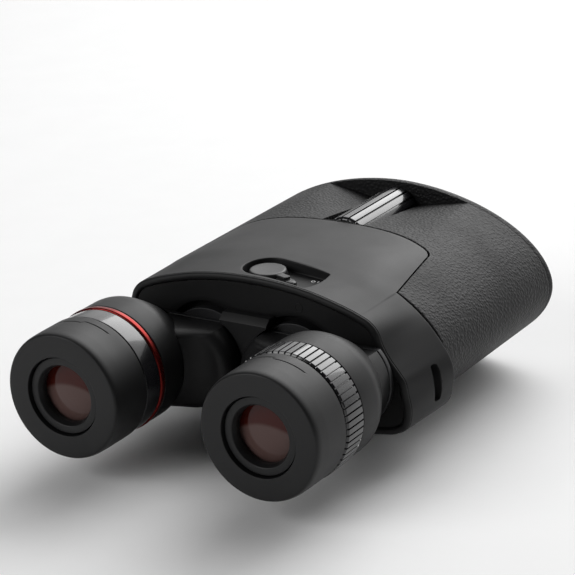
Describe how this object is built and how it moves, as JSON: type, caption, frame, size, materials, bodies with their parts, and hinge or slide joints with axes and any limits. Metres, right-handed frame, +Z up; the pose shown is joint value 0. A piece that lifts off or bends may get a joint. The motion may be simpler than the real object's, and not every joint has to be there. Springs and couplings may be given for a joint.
{
  "type": "binoculars",
  "caption": "Stabilised compact binoculars with swinging eyepiece arms, twist-up eyecups, dioptre ring, focus wheel and power switch in a rounded armoured body.",
  "frame": {"origin": "middle of the resting surface under the object", "axes": "+X to the user's right, +Y from the eyepieces to the objectives, +Z up"},
  "size_m": [0.118, 0.1506, 0.0583],
  "materials": {
    "armour": "fine pebble grain, matt",
    "shell": "fine moulded texture, satin",
    "inner": "moulded, matt",
    "cup": "soft-touch, matt",
    "gloss": "glossy black",
    "red": "red anodised, turned",
    "metal": "turned",
    "black_metal": "black, satin",
    "brass": "milled",
    "glass": "coated, reddish reflection",
    "board": "solder mask green",
    "battery": "wrapped cell"
  },
  "bodies": {
    "housing": {"front_armour": "armour", "rear_housing": "shell", "rear_wall": "inner", "centre_bridge": "shell", "front_bezel": "inner", "chassis": "black_metal", "indicator_lens": "glass", "objective_window_left": "glass", "objective_window_right": "glass", "yaw_motor": "metal", "pitch_motor": "metal", "circuit_board": "board", "battery_tube": "inner", "battery": "battery", "battery_spring": "metal", "chassis_screw_1": "metal", "chassis_screw_2": "metal", "chassis_screw_3": "metal", "chassis_screw_4": "metal"},
    "arm_right": {"arm_housing_right": "shell", "hub_plate_right": "black_metal", "rhomboid_prism_right": "glass", "hub_gear_right": "brass", "hub_nut_right": "metal", "eyecup_sleeve_right": "black_metal"},
    "arm_left": {"arm_housing_left": "shell", "hub_plate_left": "black_metal", "rhomboid_prism_left": "glass", "hub_gear_left": "brass", "hub_nut_left": "metal", "eyecup_sleeve_left": "black_metal", "barrel_band": "gloss", "red_ring": "red", "ocular_cell_left": "inner", "eye_lens_left": "glass"},
    "dioptre": {"dioptre_ring": "gloss"},
    "ocular_right": {"ocular_cell_right": "inner", "eye_lens_right": "glass"},
    "cup_turn_right": {"eyecup_cam_right": "inner"},
    "cup_right": {"eyecup_right": "cup"},
    "cup_turn_left": {"eyecup_cam_left": "inner"},
    "cup_left": {"eyecup_left": "cup"},
    "focus_wheel": {"focus_wheel": "gloss", "focus_shaft": "metal"},
    "focus_carriage": {"focus_carriage": "black_metal", "objective_cell_left": "black_metal", "objective_cell_right": "black_metal", "objective_lens_left": "glass", "objective_lens_right": "glass"},
    "gimbal_loop": {"gimbal_loop": "metal"},
    "gimbal_cradle": {"gimbal_cradle": "black_metal", "erecting_prism_left": "glass", "erecting_prism_right": "glass"},
    "power_switch": {"power_switch": "shell", "switch_rotor": "brass"},
    "battery_cap": {"battery_cap": "inner"}
  },
  "joints": [
    {"name": "right_arm_swing", "type": "hinge", "parent": "housing", "child": "arm_right", "pos_m": [0.01613, -0.0303, 0.02784], "axis": [0, -1, 0], "range_deg": [0, 47]},
    {"name": "left_arm_swing", "type": "hinge", "parent": "housing", "child": "arm_left", "pos_m": [-0.01613, -0.0303, 0.02784], "axis": [0, 1, 0], "range_deg": [0, 47]},
    {"name": "dioptre_turn", "type": "hinge", "parent": "arm_right", "child": "dioptre", "pos_m": [0.035, -0.0553, 0.0292], "axis": [0, -1, 0], "range_deg": [-60.5, 60.5]},
    {"name": "dioptre_travel", "type": "slide", "parent": "arm_right", "child": "ocular_right", "axis": [0, -1, 0], "range_m": [-0.001, 0.001]},
    {"name": "right_cup_turn", "type": "hinge", "parent": "arm_right", "child": "cup_turn_right", "pos_m": [0.035, -0.0673, 0.0292], "axis": [0, -1, 0], "range_deg": [0, 120.5]},
    {"name": "right_cup_rise", "type": "slide", "parent": "cup_turn_right", "child": "cup_right", "axis": [0, -1, 0], "range_m": [0, 0.008]},
    {"name": "left_cup_turn", "type": "hinge", "parent": "arm_left", "child": "cup_turn_left", "pos_m": [-0.035, -0.0673, 0.0292], "axis": [0, -1, 0], "range_deg": [0, 120.5]},
    {"name": "left_cup_rise", "type": "slide", "parent": "cup_turn_left", "child": "cup_left", "axis": [0, -1, 0], "range_m": [0, 0.008]},
    {"name": "focus_turn", "type": "hinge", "parent": "housing", "child": "focus_wheel", "pos_m": [0, 0.0547, 0.049], "axis": [0, 1, 0], "range_deg": [-60.5, 300.5]},
    {"name": "focus_travel", "type": "slide", "parent": "housing", "child": "focus_carriage", "axis": [0, -1, 0], "range_m": [-0.00067, 0.00333]},
    {"name": "stabiliser_yaw", "type": "hinge", "parent": "housing", "child": "gimbal_loop", "pos_m": [0, 0.0087, 0.0277], "axis": [0, 0, 1], "range_deg": [-3, 3]},
    {"name": "stabiliser_pitch", "type": "hinge", "parent": "gimbal_loop", "child": "gimbal_cradle", "pos_m": [0, 0.0087, 0.0277], "axis": [1, 0, 0], "range_deg": [-3, 3]},
    {"name": "power_switch_turn", "type": "hinge", "parent": "housing", "child": "power_switch", "pos_m": [0, -0.0114, 0.0522], "axis": [0, 0, 1], "range_deg": [0, 26]},
    {"name": "battery_cap_turn", "type": "hinge", "parent": "housing", "child": "battery_cap", "pos_m": [0, 0.0727, 0.0127], "axis": [0, 1, 0], "range_deg": [0, 90]}
  ],
  "couplings": [
    {"joint": "left_arm_swing", "follows": "right_arm_swing", "ratio": 1},
    {"joint": "dioptre_turn", "follows": "dioptre_travel", "rad_per_m": 1047.2},
    {"joint": "right_cup_turn", "follows": "right_cup_rise", "rad_per_m": 261.8},
    {"joint": "left_cup_turn", "follows": "left_cup_rise", "rad_per_m": 261.8},
    {"joint": "focus_turn", "follows": "focus_travel", "rad_per_m": 1570.8}
  ]
}
